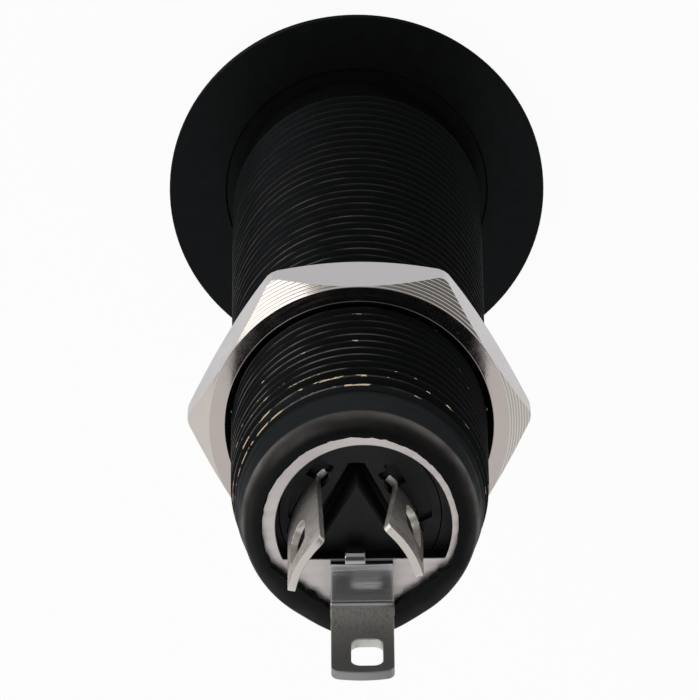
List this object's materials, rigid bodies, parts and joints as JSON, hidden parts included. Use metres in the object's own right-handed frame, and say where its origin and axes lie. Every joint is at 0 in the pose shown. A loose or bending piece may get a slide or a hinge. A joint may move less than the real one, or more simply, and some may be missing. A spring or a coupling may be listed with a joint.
{
  "type": "guitar output jack",
  "caption": "Threaded barrel jack for a 6.35 mm stereo plug: round flange, black barrel with hex nut, rolled end with plate, and solder lugs for tip, ring and ground.",
  "frame": {"origin": "centre of the flange's front face, where the plug goes in; the jack stands on this face", "axes": "+Z along the barrel from the flange to the solder lugs; the ground lug is on the -Y side, the tip lug on the +X side"},
  "size_m": [0.018, 0.018, 0.0486],
  "materials": {
    "black_plating": "satin black plating on turned brass, worn to brass on the thread crests",
    "nickel_nut": "bright nickel plating with turning lines on the chamfers",
    "liner_plastic": "black moulded plastic",
    "moulded_plastic": "black moulded plastic, satin",
    "nickel_strip": "bright nickel-plated spring strip",
    "machined_plate": "matte nickel with fine straight lines",
    "nickel_lug": "bright nickel plating, brushed across"
  },
  "bodies": {
    "jack": {"barrel": "black_plating", "insulating_liner": "liner_plastic", "contact_insulator": "moulded_plastic", "tip_contact": "nickel_strip", "ring_contact": "nickel_strip", "end_plate": "machined_plate", "ground_lug": "nickel_lug"},
    "nut": {"hex_nut": "nickel_nut"}
  },
  "joints": [
    {"name": "nut_travel", "type": "slide", "parent": "jack", "child": "nut", "axis": [0, 0, 1], "range_m": [-0.0255, 0.008]}
  ]
}
